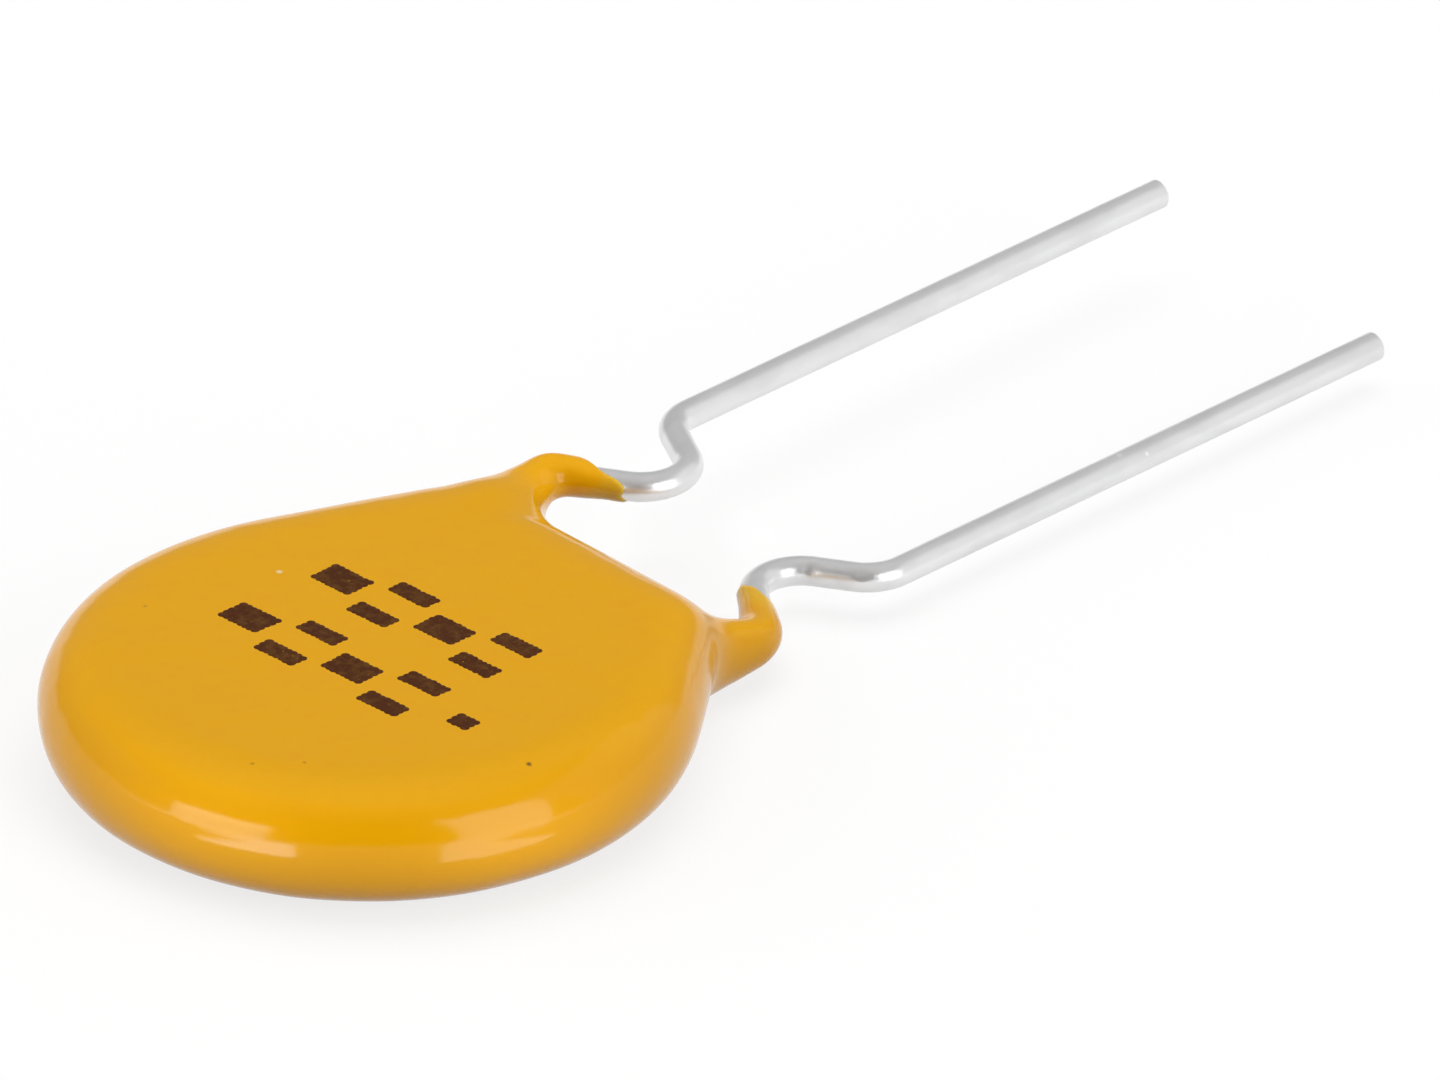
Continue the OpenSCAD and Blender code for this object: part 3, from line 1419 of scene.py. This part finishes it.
@dataclass
class InkMarks:
    """Two rows of plain bars and a bullet, in ink dots on the front face.

    A row is a line of cells with gaps between them. Each cell has one bar in its middle, or two bars that
    leave its middle bare, by turns. A row of few dots is printed whole.
    """

    pitch: float = 0.112
    line_pitch: float = 0.121
    cell: int = 8
    gap: int = 3
    middle_half: float = 2.5
    whole_rows: int = 4
    dot_r: float = 0.086
    dot_h: float = 0.0022
    dot_sides: int = 12
    dot_rings: int = 4
    dot_sizes: Band = (0.86, 1.12)
    size_seed: int = 7
    jitter: float = 0.010
    drop_from: float = 5.0
    drop_reach: float = 10.0
    lines: tuple[DotRow, ...] = (
        DotRow(-0.79, 0.22, 41, 11, 3),
        DotRow(1.24, 0.09, 41, 11, 8),
        DotRow(-0.76, -3.03, 4, 3, 5),
    )
    finish: InkFinish = InkFinish()

    def tree(self) -> NodeShape:
        """The dots: a grid of which some are printed, dropped onto the coating's face.

        Returns:
            The tree.
        """
        usual = self.lines[0]
        graph = NodeShape("ink_dots", {
            "Columns": usual.columns,
            "Rows": usual.rows,
            "Pitch": self.pitch * MM,
            "Line pitch": self.line_pitch * MM,
            "Cell columns": self.cell,
            "Gap columns": self.gap,
            "Dot radius": self.dot_r * MM,
            "Dot height": self.dot_h * MM,
            "Jitter": self.jitter * MM,
            "Seed": usual.seed,
            "Centre": ORIGIN,
        }, surface=True)
        given = graph.given
        grid = graph.add("GeometryNodeMeshGrid", None, {
            "Size X": (given("Rows") - 1.0) * given("Line pitch"),
            "Size Y": (given("Columns") - 1.0) * given("Pitch"),
            "Vertices X": given("Rows"),
            "Vertices Y": given("Columns"),
        })
        place = graph.add("GeometryNodeInputPosition")
        dots = graph.add("GeometryNodeDeleteGeometry", {"domain": "POINT"}, {
            "Geometry": grid, "Selection": self.bare(graph, place),
        })
        shake = graph.add("FunctionNodeRandomValue", {"data_type": "FLOAT_VECTOR"}, {
            0: (-1.0, -1.0, 0.0), 1: (1.0, 1.0, 0.0), "Seed": given("Seed"),
        })
        move = graph.vector("ADD", graph.vector("SCALE", shake, given("Jitter")), given("Centre"))
        dots = graph.add("GeometryNodeSetPosition", None, {"Geometry": dots, "Offset": move})
        hit = graph.add("GeometryNodeRaycast", None, {
            "Target Geometry": graph.add(
                "GeometryNodeObjectInfo", None, {"Object": given("Surface")}, "Geometry"
            ),
            "Source Position": place,
            "Ray Direction": (0.0, 0.0, -1.0),
            "Ray Length": self.drop_reach * MM,
        }, "Hit Position")
        dots = graph.add("GeometryNodeSetPosition", None, {"Geometry": dots, "Position": hit})
        size = graph.add("FunctionNodeRandomValue", {"data_type": "FLOAT"}, {
            2: self.dot_sizes[0], 3: self.dot_sizes[1], "Seed": given("Seed") + self.size_seed,
        })
        graph.finish(graph.add("GeometryNodeInstanceOnPoints", None, {
            "Points": dots, "Instance": self.dot(graph), "Scale": size,
        }))
        return graph

    def bare(self, graph: NodeShape, place: Val) -> Val:
        """Which dots of the grid are left out.

        Args:
            graph: The tree.
            place: The dots' places.

        Returns:
            1 for a dot that isn't printed, and 0 for the others.
        """
        given = graph.given
        columns, rows = given("Columns"), given("Rows")
        x, y, _ = graph.parts(place)
        line = (x / given("Line pitch") + (rows - 1.0) / 2.0).rounded()
        column = (y / given("Pitch") + (columns - 1.0) / 2.0).rounded()
        period = given("Cell columns") + given("Gap columns")
        in_gap = (column % period) > (given("Cell columns") - 0.5)
        odd = (column / period).floored() % 2.0
        middle = line - (rows - 1.0) / 2.0
        outer = (middle * middle) > self.middle_half ** 2
        whole = rows < self.whole_rows + 0.5
        return ((in_gap + odd * outer + (1.0 - odd) * (1.0 - outer)) * (1.0 - whole)) > 0.5

    def dot(self, graph: NodeShape) -> Val:
        """One dot of ink: a ball that is pressed flat.

        Args:
            graph: The tree.

        Returns:
            The dot.
        """
        radius, height = graph.given("Dot radius"), graph.given("Dot height")
        ball = graph.add("GeometryNodeMeshUVSphere", None, {
            "Segments": self.dot_sides, "Rings": self.dot_rings, "Radius": radius,
        }, "Mesh")
        flat = graph.add("ShaderNodeCombineXYZ", None, {0: 1.0, 1: 1.0, 2: height / radius})
        return graph.add("GeometryNodeTransform", None, {"Geometry": ball, "Scale": flat})

    def build(self, coating: bpy.types.Object) -> bpy.types.Object:
        """Makes the marks and dresses them.

        Args:
            coating: The coating that carries them.

        Returns:
            The marks, as one piece.
        """
        tree, finish = self.tree(), self.finish.material()
        places, faces = [], []
        for line in self.lines:
            mesh = tree.bake(add_object("ink_row", bpy.data.meshes.new("ink_row")), {
                "Columns": line.columns,
                "Rows": line.rows,
                "Seed": line.seed,
                "Centre": (line.x * MM, line.y * MM, self.drop_from * MM),
                "Surface": coating,
                "Finish": finish,
            }, "ink_row")
            start = len(places)
            places += [tuple(vertex.co) for vertex in mesh.vertices]
            faces += [tuple(start + i for i in face.vertices) for face in mesh.polygons]
            bpy.data.meshes.remove(mesh)
        piece = add_object("ink_marks", smooth_mesh("ink_marks", places, faces, finish))
        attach(piece, "root")
        return piece


@dataclass
class Inside:
    """The parts inside the coating, which keep their CAD solids."""

    chip: ChipFinish = ChipFinish()
    foil: MetalFinish = MetalFinish("nickel_foil", (0.62, 0.59, 0.54), (0.52, 0.50, 0.46), 0.05, 0.30)
    solder: MetalFinish = MetalFinish("tin_solder", (0.62, 0.62, 0.64), (0.48, 0.48, 0.50), 0.08, 0.36)

    def dress(self, nodes: Mapping[str, bpy.types.Object]) -> list[bpy.types.Object]:
        """Gives each solid its finish.

        Args:
            nodes: The frame's nodes by name.

        Returns:
            The dressed nodes.
        """
        foil, solder = self.foil.material(), self.solder.material()
        finishes = {
            "ptc_chip": self.chip.material(),
            "front_foil": foil,
            "rear_foil": foil,
            "front_solder": solder,
            "rear_solder": solder,
        }
        for name, finish in finishes.items():
            slots = nodes[name].material_slots
            if not slots:
                nodes[name].data.materials.append(finish)
            for held in slots:
                held.material = finish
        return [nodes[name] for name in finishes]


@dataclass(frozen=True)
class Panel:
    """A soft light panel, placed by the direction from which it shines on the object."""

    name: str
    azimuth: float
    elevation: float
    width: float
    height: float
    radiance: float
    distance: float = 300.0
    mirrored: bool = True
    lit: bool = True


@dataclass(frozen=True)
class Sill:
    """Light panels that lie on the table in a row, beside a line that runs off past the rim.

    The line's first point is given to the camera's right and towards it, from the disc's centre. Widths to
    the line's left are negative.
    """

    name: str
    right: float
    near: float
    azimuth: float
    lengths: tuple[float, ...]
    widths: tuple[float, ...]
    radiance: float
    height: float = 0.02


@dataclass
class Studio:
    """The table, the light and the camera. Azimuths are degrees from the camera, to its right."""

    camera_azimuth: float = -44.5
    camera_elevation: float = 28.7
    camera_clip: Band = (10.0, 20000.0)
    lens: float = 1200.0
    sensor: float = 36.0
    view_width: float = 24.2
    view_depth: float = 2.5
    look_right: float = 5.866
    look_up: float = 2.756
    mid_z: float = MID_Z
    floor_rings: tuple[float, ...] = (20.0, 60.0, 200.0, 1500.0)
    floor_sides: int = 64
    floor_white: float = 0.92
    floor_bounce: float = 0.32
    floor_glow: float = 0.78
    room: float = 0.27
    room_front: float = 0.04
    front_band: Band = (0.35, 0.85)
    horizon_band: Band = (0.02, 0.12)
    panels: tuple[Panel, ...] = (
        Panel("left_panel", -51.0, 7.0, 184.0, 78.0, 4.6),
        Panel("left_gloss", -51.0, 19.0, 178.0, 50.0, 5.6, lit=False),
        Panel("right_panel", 45.5, 21.0, 178.0, 230.0, 3.65),
        Panel("left_fill", -105.0, 22.0, 300.0, 240.0, 2.0, distance=400.0, mirrored=False),
        Panel("top_panel", 180.0, 75.0, 420.0, 420.0, 2.06, distance=400.0, mirrored=False),
        Panel("side_card", 103.0, 27.0, 330.0, 270.0, 0.46),
    )
    sills: tuple[Sill, ...] = (
        Sill("left_sill", -2.55, 8.34, -25.0, (8.0, 20.0, 220.0), (-4.0, -9.0, -70.0), 7.0),
        Sill("right_sill", 2.05, 7.28, 24.0, (9.0, 20.0, 220.0), (4.0, 9.0, 60.0), 3.6),
    )

    def direction(self, azimuth: float, elevation: float = 0.0) -> Vector:
        """The direction from the object to a place in the studio.

        Args:
            azimuth: Degrees from the camera, to its right.
            elevation: Degrees above the table.

        Returns:
            A unit vector.
        """
        turn, rise = math.radians(self.camera_azimuth + azimuth), math.radians(elevation)
        flat = math.cos(rise)
        return Vector((math.sin(turn) * flat, -math.cos(turn) * flat, math.sin(rise)))

    def camera(self) -> None:
        """Puts the camera at the photograph's angle, far back with a long lens."""
        right, back = self.direction(90.0), self.direction(0.0, self.camera_elevation)
        look = right * self.look_right + back.cross(right) * self.look_up
        away = self.lens * self.view_width / self.sensor - self.view_depth
        data = bpy.data.cameras.new("camera")
        data.lens, data.sensor_width = self.lens, self.sensor
        data.clip_start, data.clip_end = (edge * MM for edge in self.camera_clip)
        camera = add_object("camera", data)
        camera.location = (Vector((0.0, 0.0, self.mid_z)) + look + back * away) * MM
        camera.rotation_euler = (-back).to_track_quat("-Z", "Y").to_euler()
        bpy.context.scene.camera = camera

    def paper(self) -> bpy.types.Material:
        """The table's white: mostly a glow where it is seen or mirrored, with enough shading for a shadow.

        Returns:
            The material.
        """
        material = bpy.data.materials.new("white_table")
        material.use_nodes = True
        graph = Graph(material.node_tree)
        rays = graph.node("ShaderNodeLightPath")
        shown = Val(graph, rays.outputs["Is Camera Ray"])
        for kind in ("Is Glossy Ray", "Is Transmission Ray"):
            shown = shown.at_least(Val(graph, rays.outputs[kind]))
        tone = graph.blend(shown, (self.floor_bounce,) * 3, (self.floor_white,) * 3)
        paper = graph.add("ShaderNodeBsdfDiffuse", None, {"Color": tone})
        glow = graph.add("ShaderNodeEmission", None, {"Color": WHITE, "Strength": 1.0})
        both = graph.add("ShaderNodeMixShader", None, {0: shown * self.floor_glow, 1: paper, 2: glow})
        graph.node("ShaderNodeOutputMaterial", None, {"Surface": both})
        return material

    def floor(self) -> None:
        """Lays the white table, which keeps the object's soft shadow."""
        sides = range(self.floor_sides)
        places: list[Triple] = [ORIGIN]
        for radius in self.floor_rings:
            for side in sides:
                angle = 2 * math.pi * side / self.floor_sides
                places.append((radius * math.cos(angle) * MM, radius * math.sin(angle) * MM, 0.0))
        following = [(side + 1) % self.floor_sides for side in sides]
        faces: list[tuple[int, ...]] = [(0, 1 + side, 1 + after) for side, after in zip(sides, following)]
        for ring in range(1, len(self.floor_rings)):
            outer = 1 + ring * self.floor_sides
            inner = outer - self.floor_sides
            faces += [
                (inner + side, outer + side, outer + after, inner + after)
                for side, after in zip(sides, following)
            ]
        table = add_object("table", smooth_mesh("table", places, faces, self.paper()))

    def world(self) -> None:
        """Fills the room with soft light: white at the horizon, dim above, dimmer on the camera's side."""
        world = bpy.data.worlds.new("room")
        world.use_nodes = True
        bpy.context.scene.world = world
        graph = Graph(world.node_tree)
        way = graph.add("ShaderNodeTexCoord", output="Generated")
        facing = graph.vector("DOT_PRODUCT", way, tuple(self.direction(0.0)))
        rise = graph.vector("DOT_PRODUCT", way, (0.0, 0.0, 1.0))
        tone = graph.blend(facing.ease(*self.front_band), (self.room,) * 3, (self.room_front,) * 3)
        tone = graph.blend(rise.ease(*self.horizon_band), WHITE, tone)
        light = graph.add("ShaderNodeBackground", None, {"Color": tone, "Strength": 1.0})
        graph.node("ShaderNodeOutputWorld", None, {"Surface": light})

    @staticmethod
    def lamp(name: str, width: float, height: float, radiance: float) -> bpy.types.Object:
        """Makes a flat lamp that the camera doesn't see.

        Args:
            name: The lamp's name.
            width: Its width.
            height: Its height.
            radiance: How bright its surface is.

        Returns:
            The lamp.
        """
        data = bpy.data.lights.new(name, "AREA")
        data.shape = "RECTANGLE"
        data.size, data.size_y = width * MM, height * MM
        data.energy = radiance * math.pi * width * height * MM * MM
        lamp = add_object(name, data)
        lamp.visible_camera = False
        return lamp

    def hang(self, panel: Panel) -> None:
        """Hangs one panel, facing the object.

        Args:
            panel: The panel.
        """
        away = self.direction(panel.azimuth, panel.elevation)
        lamp = self.lamp(panel.name, panel.width, panel.height, panel.radiance)
        lamp.location = away * panel.distance * MM
        lamp.rotation_euler = (-away).to_track_quat("-Z", "Y").to_euler()
        lamp.visible_glossy, lamp.visible_diffuse = panel.mirrored, panel.lit

    def lay(self, sill: Sill) -> None:
        """Lays one row of panels on the table, facing up.

        Args:
            sill: The row.
        """
        along, aside = self.direction(sill.azimuth), self.direction(sill.azimuth + 90.0)
        start = self.direction(90.0) * sill.right + self.direction(0.0) * sill.near
        for length, width in zip(sill.lengths, sill.widths):
            middle = start + along * (length / 2) + aside * (width / 2)
            lamp = self.lamp(sill.name, abs(width), length, sill.radiance)
            lamp.location = (middle + Vector((0.0, 0.0, sill.height))) * MM
            lamp.rotation_euler = (math.pi, 0.0, math.atan2(-along.x, along.y))
            start = start + along * length

    def build(self) -> None:
        """Sets up the camera, the table, the room and the panels."""
        bpy.context.scene.view_settings.view_transform = "Standard"
        self.camera()
        self.floor()
        self.world()
        for panel in self.panels:
            self.hang(panel)
        for sill in self.sills:
            self.lay(sill)


def report(pieces: Iterable[bpy.types.Object]) -> None:
    """Logs the name, the face count and the height of each piece.

    Args:
        pieces: The pieces.
    """
    for piece in pieces:
        top = max(vertex.co.z for vertex in piece.data.vertices) / MM
        LOG.info("%s: %d faces, top at %.4f mm", piece.name, len(piece.data.polygons), top)


def main() -> None:
    """Builds the object's pieces in order, and the studio round them."""
    logging.basicConfig(level=logging.INFO, format="%(name)s: %(message)s")
    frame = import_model()
    coating = Coating().build()
    report([coating])
    report(Leads().build())
    report([InkMarks().build(coating)])
    report(Inside().dress(frame["nodes"]))
    Studio().build()


if __name__ == "__main__":
    main()
